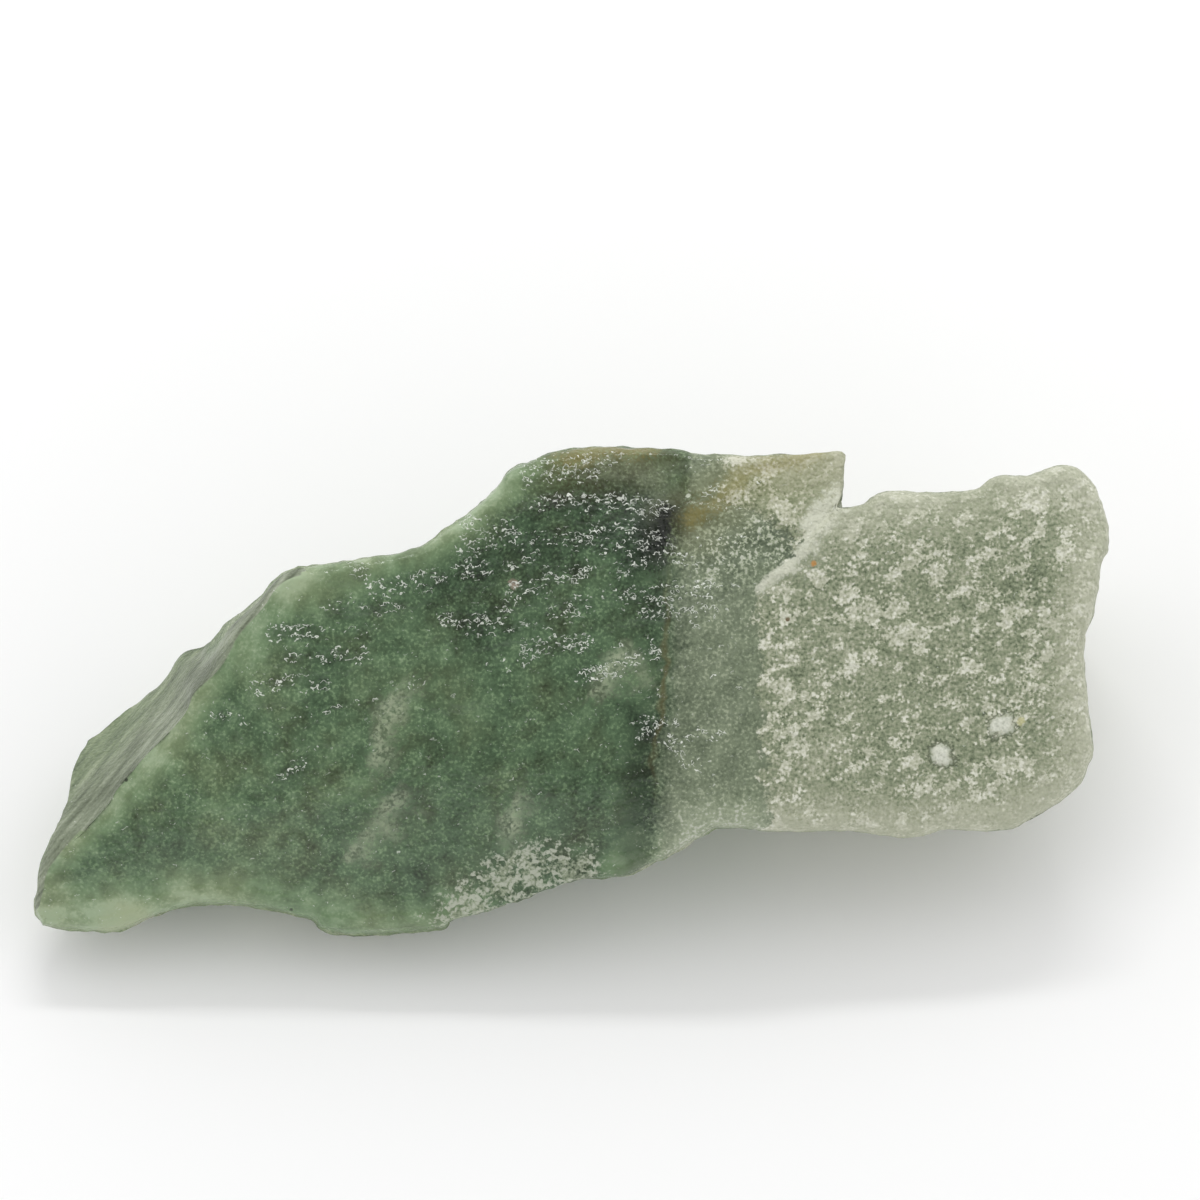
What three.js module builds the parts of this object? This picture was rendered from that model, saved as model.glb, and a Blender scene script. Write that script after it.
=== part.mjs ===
// Raw green aventurine: one broken chunk of quartzite, about 107 mm long, lying on its flat underside.
//
// The chunk is laid out in its face frame: u across, v up and w out of the broad broken face. Its
// outline is a ring of stations round the face. Every station carries a profile from the shoulder of
// the face, over the rim, down the wall to the foot, and two patches close the ring: the broken face
// above and the underside below. The finished mesh is then tipped back onto the underside.
import * as THREE from "three";

// ---- driving dimensions, millimetres and degrees ----

const FACE_TILT = 28; // the broad face leans this far towards -Y from level
const FACE_HEIGHT = 15; // height of the face frame's origin above the surface it lies on

const CELLS_ALONG = 58; // cells of both patches along the length
const CELLS_ACROSS = 20; // cells of both patches across the width
const SHOULDER_ROWS = 3; // rows of cells from the shoulder of the face out to the rim
const WALL_ROWS = 6; // rows of cells from the rim down to the foot
const SAMPLES_PER_SPAN = 24; // points measured between two stations when they are spaced evenly
const LOWER_LAG = 0.13; // the lower edge's cells lag by this share, so that they lean clear of the notch
const FOOT_REACH = 5; // stations to each side that the foot's curve is evened out over

const CREASE = 1.2; // how far two facets of the face blend into each other
const STEP_WIDTH = 0.9; // width of the riser between the main face and the pale end
const WALL_BOW = 1.6; // power of the wall's inward curve, 1 being straight
const NARROW_SHOULDER = 2.2; // shoulders up to this wide are rounded over
const WIDE_SHOULDER = 3.6; // shoulders this wide are flat side facets

// Outline stations: u, v, width of the shoulder, how far the rim lies below the face, and inset of
// the foot.
const UPPER_EDGE = [
  [-50.2, -9.9, 3.4, 5, 4],
  [-49.7, -6.7, 5.2, 9, 4],
  [-48.5, -4.1, 6.2, 12, 4],
  [-46.0, -1.9, 6.1, 14, 4],
  [-43.3, -0.1, 5.1, 14, 4],
  [-41.0, 1.6, 4.4, 14, 4],
  [-39.0, 4.4, 4.4, 14, 4],
  [-36.3, 5.5, 3.1, 12, 5],
  [-34.0, 7.9, 2.4, 9, 6],
  [-31.0, 10.2, 1.5, 6, 7],
  [-29.3, 12.1, 1.2, 3.5, 8],
  [-27.2, 13.0, 1.1, 2, 8],
  [-23.0, 13.5, 1.0, 1.5, 8],
  [-15.3, 15.2, 1.0, 1.5, 8],
  [-11.9, 17.2, 1.1, 1.5, 9],
  [-9.9, 18.7, 1.2, 2, 10],
  [-7.7, 20.8, 1.4, 2, 11],
  [-6.1, 22.7, 1.4, 2, 12],
  [-4.1, 23.7, 1.2, 2, 13],
  [-1.7, 24.4, 1.0, 1.5, 13],
  [3.6, 25.2, 1.0, 1.5, 13],
  [9.8, 25.2, 1.0, 1.5, 13],
  [12.9, 24.7, 0.9, 1.2, 12],
  [16.8, 24.5, 0.9, 1.2, 11],
  [20.4, 24.4, 0.9, 1.2, 11],
  [25.6, 24.8, 0.8, 1.2, 11],
  [26.8, 24.8, 0.8, 1.2, 11],
  [27.4, 24.2, 0.8, 1.2, 11],
  [27.1, 20.6, 0.7, 1.2, 8],
  [26.7, 19.3, 0.4, 1.2, 8],
  [29.2, 19.6, 0.9, 1.5, 8],
  [31.3, 20.7, 1.2, 1.8, 9],
  [36.5, 20.8, 1.4, 2, 9],
  [40.3, 21.3, 1.4, 2, 9],
  [42.6, 22.4, 1.4, 2, 9],
  [45.7, 22.4, 1.4, 2, 9],
  [49.3, 23.2, 1.5, 2, 10],
  [51.0, 22.7, 1.5, 2, 10],
  [52.4, 21.3, 1.5, 2, 9],
];
const RIGHT_END = [
  [52.4, 21.3, 1.5, 2, 9],
  [53.7, 17.4, 1.5, 2, 7],
  [53.7, 15.1, 1.4, 2, 6],
  [53.0, 13.6, 1.3, 2, 5],
  [52.1, 8.2, 1.3, 2, 5],
  [51.4, 5.5, 1.3, 2, 5],
  [51.7, -0.8, 1.5, 2, 5],
  [52.1, -4.4, 1.8, 2, 6],
  [51.7, -6.4, 2.0, 2.2, 6],
  [50.8, -8.2, 2.2, 2.4, 6],
];
const LOWER_EDGE = [
  [-52.8, -22.6, 0.9, 2.5, 3],
  [-49.6, -22.9, 1.3, 2.5, 3],
  [-46.3, -23.1, 1.6, 2.5, 3],
  [-44.0, -22.6, 1.6, 2.5, 3],
  [-41.7, -21.8, 1.8, 3, 3],
  [-39.2, -20.8, 2.0, 3, 3],
  [-36.9, -20.5, 2.0, 3, 3],
  [-31.3, -20.9, 2.0, 3, 3],
  [-26.2, -21.9, 1.8, 3, 3],
  [-25.1, -22.9, 1.8, 3, 3],
  [-23.4, -23.5, 2.0, 3, 3],
  [-21.0, -23.7, 2.2, 3, 3],
  [-16.8, -23.4, 2.2, 3, 3],
  [-12.6, -22.8, 1.6, 2, 3],
  [-11.8, -22.2, 1.2, 1.5, 3],
  [-8.7, -21.2, 0.8, 1, 3],
  [-1.7, -18.8, 0.8, 1, 3],
  [1.3, -18.0, 1.0, 1.2, 3],
  [4.9, -17.8, 1.2, 1.5, 3],
  [7.9, -16.7, 1.4, 2, 3],
  [13.4, -13.5, 1.8, 2.5, 3],
  [15.0, -12.8, 1.8, 2.5, 3],
  [20.0, -12.9, 1.8, 2.4, 3],
  [26.9, -13.0, 1.8, 2.2, 4],
  [33.4, -13.7, 1.8, 2.2, 4],
  [36.9, -13.0, 1.8, 2.2, 4],
  [43.4, -12.9, 2.0, 2.4, 5],
  [46.0, -11.8, 2.2, 2.4, 6],
  [48.7, -10.4, 2.2, 2.4, 6],
  [50.8, -8.2, 2.2, 2.4, 6],
];
const LEFT_TIP = [
  [-50.2, -9.9, 3.4, 5, 4],
  [-50.7, -11.4, 2.8, 4.5, 4],
  [-52.0, -14.2, 1.7, 3.5, 4],
  [-53.1, -17.1, 1.4, 3, 3],
  [-53.3, -18.9, 1.2, 2.5, 3],
  [-53.6, -20.8, 1.0, 2.5, 3],
  [-52.8, -22.6, 0.9, 2.5, 3],
];

// The line down the middle of the face that every wall leans towards: u, v.
const SPINE = [
  [-47, -19],
  [-36, -12],
  [-15, -3],
  [12, 4],
  [42, 4.5],
];

// Facets of the broken face: a point (u, v, w) of each plane, and its rise along u and v.
const MAIN_FACETS = [
  { at: [-10, 0, 9.6], rise: [0.02, 0.04] }, // broad green face
  { at: [-10, -8, 9.4], rise: [0.02, 0.4] }, // front slope, down to the thin lower edge
  { at: [-28, 0, 9.5], rise: [0.13, 0.05] }, // fall towards the left tip
  { at: [8.5, 0, 9.97], rise: [-0.14, 0.03] }, // grey band right of the seam
  { at: [0, 18, 9.9], rise: [0.0, -0.26] }, // top edge
  { at: [13, 19.5, 8.2], rise: [-0.12, -0.26] }, // stained tab, tipped away up and to the right
];
const PALE_FACETS = [
  { at: [19, 0, 8.7], rise: [-0.07, 0.01] }, // broad pale face
  { at: [30, 17.5, 8.1], rise: [-0.05, -0.45] }, // bevel along its top edge
  { at: [47, 15, 6.9], rise: [-0.35, -0.25] }, // bevel of the far corner
  { at: [30, -8, 8.0], rise: [-0.06, 0.3] }, // bevel along its lower edge
];

// Where the pale end meets the main face: v against u, from the lower edge to the notch.
const STEP_LINE = [
  [-16, 20.0],
  [-8, 19.2],
  [8, 18.7],
  [11.5, 19.0],
  [14.3, 22.3],
  [17, 24.6],
  [19.5, 27.2],
  [26, 30.0],
];

// Underside, once tipped back: height of each plane below the face frame's origin, and its rise
// along x and y.
const UNDERSIDE = [
  { height: 0, rise: [0, 0] }, // the flat it rests on
  { height: -9.5, rise: [-0.03, -0.62] }, // front, up to the thin lower edge
  { height: -22, rise: [0.5, -0.06] }, // right end
  { height: -9.5, rise: [-0.24, 0.02] }, // left tip
  { height: -14, rise: [-0.08, 0.85] }, // back
];

// ---- small tools ----

const TILT = THREE.MathUtils.degToRad(FACE_TILT);
const mix = (a, b, t) => a + (b - a) * t;
const smoothstep = (x) => THREE.MathUtils.smoothstep(x, 0, 1);

/** The smaller of a and b, with the corner between them rounded over the given width. */
function softMin(a, b, width) {
  const closeness = Math.max(width - Math.abs(a - b), 0) / width;
  return Math.min(a, b) - (closeness * closeness * width) / 4;
}

/** Straight interpolation in a list of [x, y] pairs whose x rises. */
function alongPairs(pairs, x) {
  const next = pairs.findIndex((pair) => pair[0] > x);
  if (next === -1) return pairs[pairs.length - 1][1];
  if (next === 0) return pairs[0][1];
  const [x0, y0] = pairs[next - 1];
  const [x1, y1] = pairs[next];
  return mix(y0, y1, (x - x0) / (x1 - x0));
}

/** Catmull-Rom curve through rows of numbers, at row position t. */
function splineRow(rows, t) {
  const span = Math.min(Math.floor(t), rows.length - 2);
  const f = t - span;
  const p1 = rows[span];
  const p2 = rows[span + 1];
  const p0 = rows[span - 1] ?? p1;
  const p3 = rows[span + 2] ?? p2;
  return p1.map((a, c) => {
    const start = (p2[c] - p0[c]) / 2;
    const end = (p3[c] - p1[c]) / 2;
    const rest = 3 * (p2[c] - a) - 2 * start - end;
    return a + f * (start + f * (rest + f * (start + end - 2 * (p2[c] - a))));
  });
}

/**
 * The spline through rows, cut into count steps of equal length in u and v. A lag draws the steps
 * towards the start, most of all at seven tenths of the way, and leaves both ends in place.
 */
function evenStations(rows, count, lag = 0) {
  const samples = [];
  const steps = (rows.length - 1) * SAMPLES_PER_SPAN;
  for (let i = 0; i <= steps; i++) samples.push(splineRow(rows, i / SAMPLES_PER_SPAN));
  const travelled = [[0, 0]];
  for (let i = 1; i <= steps; i++) {
    const [du, dv] = [samples[i][0] - samples[i - 1][0], samples[i][1] - samples[i - 1][1]];
    travelled.push([travelled[i - 1][0] + Math.hypot(du, dv), i / SAMPLES_PER_SPAN]);
  }
  const total = travelled[steps][0];
  const stations = [rows[0]];
  for (let i = 1; i < count; i++) {
    const share = i / count - lag * Math.sin(Math.PI * (i / count) ** 2);
    stations.push(splineRow(rows, alongPairs(travelled, total * share)));
  }
  return [...stations, rows[rows.length - 1]];
}

// ---- the form ----

const planeLevel = ({ at, rise }, u, v) => at[2] + rise[0] * (u - at[0]) + rise[1] * (v - at[1]);

/** Lowest of several facets, with soft creases between them. */
const facetLevel = (facets, u, v) =>
  facets.map((facet) => planeLevel(facet, u, v)).reduce((a, b) => softMin(a, b, CREASE));

/** Level w of the broken face: the main facets, and past the step the pale ones. */
function faceLevel(u, v) {
  const past = smoothstep((u - alongPairs(STEP_LINE, v)) / STEP_WIDTH + 0.5);
  return mix(facetLevel(MAIN_FACETS, u, v), facetLevel(PALE_FACETS, u, v), past);
}

/** Level w of the underside: the highest of its planes, each solved for w in the tilted frame. */
function undersideLevel(u, v) {
  const levels = UNDERSIDE.map(({ height, rise }) => {
    const known = height + rise[0] * u + rise[1] * v * Math.cos(TILT);
    const steepness = Math.cos(TILT) + rise[1] * Math.sin(TILT);
    return (known - v * Math.sin(TILT) - FACE_HEIGHT) / steepness;
  });
  return Math.max(...levels);
}

/** The direction from a point of the outline to the point of the spine below or above it. */
function towardsSpine([u, v]) {
  const onSpine = Math.min(Math.max(u, SPINE[0][0]), SPINE[SPINE.length - 1][0]);
  return new THREE.Vector2(onSpine - u, alongPairs(SPINE, onSpine) - v).normalize();
}

/** The direction halfway between the outline's inward normal and the way to the spine. */
function inward(station, before, after) {
  const normal = new THREE.Vector2(before[1] - after[1], after[0] - before[0]).normalize();
  return normal.add(towardsSpine(station)).normalize();
}

/** Each point of a closed curve moved to the mean of its neighbours within a reach. */
function evenedOut(curve, reach) {
  return curve.map((_, place) => {
    const near = [];
    for (let step = -reach; step <= reach; step++) near.push(curve.at((place + step) % curve.length));
    return [0, 1].map((c) => near.reduce((sum, point) => sum + point[c], 0) / near.length);
  });
}

/** The foot: each station moved in by its inset, then evened out twice. */
function footCurve(stations) {
  const foot = stations.map((station) => {
    const [u, v, , , inset] = station;
    const lean = towardsSpine(station);
    return [u + lean.x * inset, v + lean.y * inset];
  });
  return evenedOut(evenedOut(foot, FOOT_REACH), FOOT_REACH);
}

/**
 * The profile of one station, from shoulder to foot, as points of the face frame: a rounded edge or
 * a flat side facet out to the rim, then the wall down to the foot.
 */
function stationProfile([u, v, shoulder, drop], lean, foot) {
  const rim = faceLevel(u, v) - drop;
  const shifted = (inset) => [u + lean.x * inset, v + lean.y * inset];
  const shoulderLevel = faceLevel(...shifted(shoulder));
  const footLevel = undersideLevel(...foot);
  const points = [];
  const straight = smoothstep((shoulder - NARROW_SHOULDER) / (WIDE_SHOULDER - NARROW_SHOULDER));
  for (let row = 0; row < SHOULDER_ROWS; row++) {
    const out = row / SHOULDER_ROWS;
    const outwards = mix(Math.sin((out * Math.PI) / 2), out, straight);
    const upwards = mix(Math.cos((out * Math.PI) / 2), 1 - out, straight);
    points.push([...shifted(shoulder * (1 - outwards)), mix(rim, shoulderLevel, upwards)]);
  }
  for (let row = 0; row <= WALL_ROWS; row++) {
    const down = row / WALL_ROWS;
    const [wallU, wallV] = [mix(u, foot[0], down ** WALL_BOW), mix(v, foot[1], down ** WALL_BOW)];
    const level = Math.max(mix(rim, footLevel, down), undersideLevel(wallU, wallV));
    points.push([wallU, wallV, level]);
  }
  return points;
}

/** Coons patch: the point at column i and row j of a patch between four edges of [u, v] points. */
function patchPoint({ lower, upper, left, right }, i, j) {
  const a = i / CELLS_ALONG;
  const b = j / CELLS_ACROSS;
  return [0, 1].map((c) => {
    const across = mix(lower[i][c], upper[i][c], b);
    const along = mix(left[j][c], right[j][c], a);
    const corners = mix(
      mix(lower[0][c], lower[CELLS_ALONG][c], a),
      mix(upper[0][c], upper[CELLS_ALONG][c], a),
      b,
    );
    return across + along - corners;
  });
}

/** The ring of profiles round the outline, anticlockwise from the left end of the lower edge. */
function profileRing() {
  const sides = [
    evenStations(LOWER_EDGE, CELLS_ALONG, LOWER_LAG),
    evenStations(RIGHT_END, CELLS_ACROSS).reverse(),
    evenStations(UPPER_EDGE, CELLS_ALONG).reverse(),
    evenStations(LEFT_TIP, CELLS_ACROSS),
  ];
  const stations = sides.flatMap((side) => side.slice(0, -1));
  const foot = footCurve(stations);
  return stations.map((station, place) => {
    const lean = inward(station, stations.at(place - 1), stations[(place + 1) % stations.length]);
    return stationProfile(station, lean, foot[place]);
  });
}

/** Which profile of the ring a patch's border cell (i, j) lies on, or -1 inside the patch. */
function ringPlace(i, j) {
  const [n, m] = [CELLS_ALONG, CELLS_ACROSS];
  if (j === 0) return i;
  if (i === n) return n + j;
  if (j === m) return 2 * n + m - i;
  if (i === 0) return 2 * (n + m) - j;
  return -1;
}

/** The closed mesh of the chunk, in its face frame. */
function chunkGeometry() {
  const ring = profileRing();
  const rows = SHOULDER_ROWS + WALL_ROWS + 1;
  const positions = ring.flat(2);
  const faces = [];
  const quad = (a, b, c, d) => faces.push(a, b, c, a, c, d);

  for (let s = 0; s < ring.length; s++) {
    const here = s * rows;
    const next = ((s + 1) % ring.length) * rows;
    for (let k = 0; k < rows - 1; k++) quad(here + k, here + k + 1, next + k + 1, next + k);
  }

  const addPatch = (row, level, facesUp) => {
    const border = (i, j) => ring[ringPlace(i, j) % ring.length][row];
    const edges = {
      lower: Array.from({ length: CELLS_ALONG + 1 }, (_, i) => border(i, 0)),
      upper: Array.from({ length: CELLS_ALONG + 1 }, (_, i) => border(i, CELLS_ACROSS)),
      left: Array.from({ length: CELLS_ACROSS + 1 }, (_, j) => border(0, j)),
      right: Array.from({ length: CELLS_ACROSS + 1 }, (_, j) => border(CELLS_ALONG, j)),
    };
    const vertex = [];
    for (let j = 0; j <= CELLS_ACROSS; j++) {
      for (let i = 0; i <= CELLS_ALONG; i++) {
        const place = ringPlace(i, j);
        if (place !== -1) {
          vertex.push((place % ring.length) * rows + row);
          continue;
        }
        vertex.push(positions.length / 3);
        const [u, v] = patchPoint(edges, i, j);
        positions.push(u, v, level(u, v));
      }
    }
    for (let j = 0; j < CELLS_ACROSS; j++) {
      for (let i = 0; i < CELLS_ALONG; i++) {
        const at = j * (CELLS_ALONG + 1) + i;
        const above = at + CELLS_ALONG + 1;
        const corners = [vertex[at], vertex[at + 1], vertex[above + 1], vertex[above]];
        quad(...(facesUp ? corners : corners.reverse()));
      }
    }
  };
  addPatch(0, faceLevel, true);
  addPatch(rows - 1, undersideLevel, false);

  const geometry = new THREE.BufferGeometry();
  geometry.setAttribute("position", new THREE.Float32BufferAttribute(positions, 3));
  geometry.setIndex(faces);
  return geometry;
}

/** Tips the chunk back onto its underside, over the origin, and levels its flat exactly. */
function layDown(geometry) {
  geometry.rotateX(TILT);
  geometry.computeBoundingBox();
  const middle = geometry.boundingBox.getCenter(new THREE.Vector3());
  geometry.translate(-middle.x, -middle.y, FACE_HEIGHT);
  const position = geometry.getAttribute("position");
  for (let i = 0; i < position.count; i++) {
    if (Math.abs(position.getZ(i)) < 1e-4) position.setZ(i, 0);
  }
  geometry.computeVertexNormals();
  return geometry;
}

const aventurine = new THREE.MeshStandardMaterial({
  color: new THREE.Color(0.2, 0.27, 0.17),
  roughness: 0.45,
  metalness: 0,
});

const stone = new THREE.Mesh(layDown(chunkGeometry()), aventurine);
stone.name = "aventurine_chunk";

const part = new THREE.Group();
part.add(stone);
export default part;
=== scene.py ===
"""Looks of a raw chunk of green aventurine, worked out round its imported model.

The chunk is laid out in its face frame, in millimetres: u across, v up and w out of the broad broken
face. It is then tipped back onto its flat underside, in the frame's metres.
"""

import math

import bpy
import numpy as np
from mathutils import Matrix, Vector


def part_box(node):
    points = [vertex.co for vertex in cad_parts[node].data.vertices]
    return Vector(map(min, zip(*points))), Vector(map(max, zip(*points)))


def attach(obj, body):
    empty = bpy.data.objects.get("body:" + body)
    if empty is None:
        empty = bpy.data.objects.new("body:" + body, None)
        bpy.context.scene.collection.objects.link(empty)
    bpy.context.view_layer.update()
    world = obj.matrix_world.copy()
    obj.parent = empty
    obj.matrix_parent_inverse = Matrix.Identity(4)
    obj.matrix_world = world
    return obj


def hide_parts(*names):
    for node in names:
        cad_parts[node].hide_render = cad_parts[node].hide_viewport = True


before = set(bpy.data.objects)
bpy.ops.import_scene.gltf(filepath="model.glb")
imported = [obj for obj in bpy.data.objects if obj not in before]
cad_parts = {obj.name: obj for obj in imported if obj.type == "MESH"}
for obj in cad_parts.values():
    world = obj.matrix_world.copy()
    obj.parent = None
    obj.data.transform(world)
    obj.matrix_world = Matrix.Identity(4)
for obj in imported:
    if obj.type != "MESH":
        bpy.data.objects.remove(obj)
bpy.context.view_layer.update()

# ---- driving dimensions, millimetres and degrees ----

NODE = "aventurine_chunk"
MM = 0.001
TILT = math.radians(28)  # the broad face leans this far towards -Y from level
FACE_HEIGHT = 15  # height of the face frame's origin above the floor
FACE_ON = (0, -math.sin(TILT), math.cos(TILT))  # the way that the broad face looks

CELLS_ALONG = 284  # cells of both patches along the length
CELLS_ACROSS = 112  # cells of both patches across the width
SHOULDER_ROWS = 20  # rows of cells from the shoulder of the face out to the rim
WALL_ROWS = 22  # rows of cells from the rim down to the foot
SAMPLES_PER_SPAN = 24  # points measured between two stations when they are spaced evenly
LOWER_LAG = 0.13  # the lower edge's cells lag by this share, so that they lean clear of the notch
EASING_PASSES = 6  # times that a patch's inner points are evened out
NORMAL_REACH = 4  # stations to each side that the outline's direction is measured over
FOOT_REACH = 26  # stations to each side that the foot's curve is evened out over

CREASE = 1.2  # how far two facets of the face blend into each other
STEP_WIDTH = 0.9  # width of the riser between the main face and the pale end
WALL_BOW = 1.6  # power of the wall's inward curve, 1 being straight
NARROW_SHOULDER = 2.2  # shoulders up to this wide are rounded over
WIDE_SHOULDER = 3.6  # shoulders this wide are flat side facets
ROW_SIZE = (7, 1.8, 7)  # length, spacing and depth of the terraces that cross the glossy face
ROW_TURN = -9  # degrees that bring the terraces level, as they climb a little to the right
FURROW_TURN = -50  # degrees that bring the furrows of the side facet level
STREAK_TURN = 50  # degrees that the streaks of the side facet climb
CLUMP_TURN = -36  # degrees that bring the clumps of the pale end level

# How far the relief stands out or lies in.
TERRACE_DEPTH = 0.2
FRONT_TERRACES = 0.3  # share of that depth left on the front slope
FURROW_DEPTH = 0.3
CREASE_DEPTH = 0.25
SEAM_DEPTH = 0.05
LUMP_HEIGHT = 0.3
RELIEF_START = 0.2  # height above the flat underside where the relief sets in
RELIEF_FADE = 2.5  # how much higher it is at full strength

# Sizes of the finish's grain: one number, or along, across and deep.
FINE_GRAIN = 0.32
SUGAR_GRAIN = 0.45
WET_GRAIN = (0.86, 0.6, 0.7)
WET_BEND = (0.42, 0.5)  # size and reach of the bends that keep wet grains from looking round
STREAK = (5, 0.45, 40)
PORES = 0.55

# Outline stations: u, v, width of the shoulder, how far the rim lies below the face, and inset of
# the foot.
UPPER_EDGE = [
    (-50.2, -9.9, 3.4, 5, 4), (-49.7, -6.7, 5.2, 9, 4), (-48.5, -4.1, 6.2, 12, 4),
    (-46.0, -1.9, 6.1, 14, 4), (-43.3, -0.1, 5.1, 14, 4), (-41.0, 1.6, 4.4, 14, 4),
    (-39.0, 4.4, 4.4, 14, 4), (-36.3, 5.5, 3.1, 12, 5), (-34.0, 7.9, 2.4, 9, 6),
    (-31.0, 10.2, 1.5, 6, 7), (-29.3, 12.1, 1.2, 3.5, 8), (-27.2, 13.0, 1.1, 2, 8),
    (-23.0, 13.5, 1.0, 1.5, 8), (-15.3, 15.2, 1.0, 1.5, 8), (-11.9, 17.2, 1.1, 1.5, 9),
    (-9.9, 18.7, 1.2, 2, 10), (-7.7, 20.8, 1.4, 2, 11), (-6.1, 22.7, 1.4, 2, 12),
    (-4.1, 23.7, 1.2, 2, 13), (-1.7, 24.4, 1.0, 1.5, 13), (3.6, 25.2, 1.0, 1.5, 13),
    (9.8, 25.2, 1.0, 1.5, 13), (12.9, 24.7, 0.9, 1.2, 12), (16.8, 24.5, 0.9, 1.2, 11),
    (20.4, 24.4, 0.9, 1.2, 11), (25.6, 24.8, 0.8, 1.2, 11), (26.8, 24.8, 0.8, 1.2, 11),
    (27.4, 24.2, 0.8, 1.2, 11), (27.1, 20.6, 0.7, 1.2, 8), (26.7, 19.3, 0.4, 1.2, 8),
    (29.2, 19.6, 0.9, 1.5, 8),
    (31.3, 20.7, 1.2, 1.8, 9), (36.5, 20.8, 1.4, 2, 9), (40.3, 21.3, 1.4, 2, 9),
    (42.6, 22.4, 1.4, 2, 9), (45.7, 22.4, 1.4, 2, 9), (49.3, 23.2, 1.5, 2, 10),
    (51.0, 22.7, 1.5, 2, 10), (52.4, 21.3, 1.5, 2, 9),
]
RIGHT_END = [
    (52.4, 21.3, 1.5, 2, 9), (53.7, 17.4, 1.5, 2, 7), (53.7, 15.1, 1.4, 2, 6),
    (53.0, 13.6, 1.3, 2, 5), (52.1, 8.2, 1.3, 2, 5), (51.4, 5.5, 1.3, 2, 5),
    (51.7, -0.8, 1.5, 2, 5), (52.1, -4.4, 1.8, 2, 6), (51.7, -6.4, 2.0, 2.2, 6),
    (50.8, -8.2, 2.2, 2.4, 6),
]
LOWER_EDGE = [
    (-52.8, -22.6, 0.9, 2.5, 3), (-49.6, -22.9, 1.3, 2.5, 3), (-46.3, -23.1, 1.6, 2.5, 3),
    (-44.0, -22.6, 1.6, 2.5, 3), (-41.7, -21.8, 1.8, 3, 3), (-39.2, -20.8, 2.0, 3, 3),
    (-36.9, -20.5, 2.0, 3, 3), (-31.3, -20.9, 2.0, 3, 3), (-26.2, -21.9, 1.8, 3, 3),
    (-25.1, -22.9, 1.8, 3, 3), (-23.4, -23.5, 2.0, 3, 3), (-21.0, -23.7, 2.2, 3, 3),
    (-16.8, -23.4, 2.2, 3, 3), (-12.6, -22.8, 1.6, 2, 3), (-11.8, -22.2, 1.2, 1.5, 3),
    (-8.7, -21.2, 0.8, 1, 3), (-1.7, -18.8, 0.8, 1, 3), (1.3, -18.0, 1.0, 1.2, 3),
    (4.9, -17.8, 1.2, 1.5, 3), (7.9, -16.7, 1.4, 2, 3), (13.4, -13.5, 1.8, 2.5, 3),
    (15.0, -12.8, 1.8, 2.5, 3), (20.0, -12.9, 1.8, 2.4, 3), (26.9, -13.0, 1.8, 2.2, 4),
    (33.4, -13.7, 1.8, 2.2, 4), (36.9, -13.0, 1.8, 2.2, 4), (43.4, -12.9, 2.0, 2.4, 5),
    (46.0, -11.8, 2.2, 2.4, 6), (48.7, -10.4, 2.2, 2.4, 6), (50.8, -8.2, 2.2, 2.4, 6),
]
LEFT_TIP = [
    (-50.2, -9.9, 3.4, 5, 4), (-50.7, -11.4, 2.8, 4.5, 4), (-52.0, -14.2, 1.7, 3.5, 4),
    (-53.1, -17.1, 1.4, 3, 3), (-53.3, -18.9, 1.2, 2.5, 3), (-53.6, -20.8, 1.0, 2.5, 3),
    (-52.8, -22.6, 0.9, 2.5, 3),
]

# The line down the middle of the face that every wall leans towards: u, v.
SPINE = [(-47, -19), (-36, -12), (-15, -3), (12, 4), (42, 4.5)]

# Facets of the broken face: a point (u, v, w) of each plane, and its rise along u and v.
MAIN_FACETS = [
    ((-10, 0, 9.6), (0.02, 0.04)),  # broad green face
    ((-10, -8, 9.4), (0.02, 0.4)),  # front slope, down to the thin lower edge
    ((-28, 0, 9.5), (0.13, 0.05)),  # fall towards the left tip
    ((8.5, 0, 9.97), (-0.14, 0.03)),  # grey band right of the seam
    ((0, 18, 9.9), (0.0, -0.26)),  # top edge
    ((13, 19.5, 8.2), (-0.12, -0.26)),  # stained tab, tipped away up and to the right
]
PALE_FACETS = [
    ((19, 0, 8.7), (-0.07, 0.01)),  # broad pale face
    ((30, 17.5, 8.1), (-0.05, -0.45)),  # bevel along its top edge
    ((47, 15, 6.9), (-0.35, -0.25)),  # bevel of the far corner
    ((30, -8, 8.0), (-0.06, 0.3)),  # bevel along its lower edge
]

# Where the pale end meets the main face: v, u, from the lower edge to the notch.
STEP_LINE = [
    (-16, 20.0), (-8, 19.2), (8, 18.7), (11.5, 19.0),
    (14.3, 22.3), (17, 24.6), (19.5, 27.2), (26, 30),
]

# Underside, once tipped back: height of each plane below the face frame's origin, and its rise
# along x and y.
UNDERSIDE = [
    (0, (0, 0)),  # the flat it rests on
    (-9.5, (-0.03, -0.62)),  # front, up to the thin lower edge
    (-22, (0.5, -0.06)),  # right end
    (-9.5, (-0.24, 0.02)),  # left tip
    (-14, (-0.08, 0.85)),  # back
]

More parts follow.
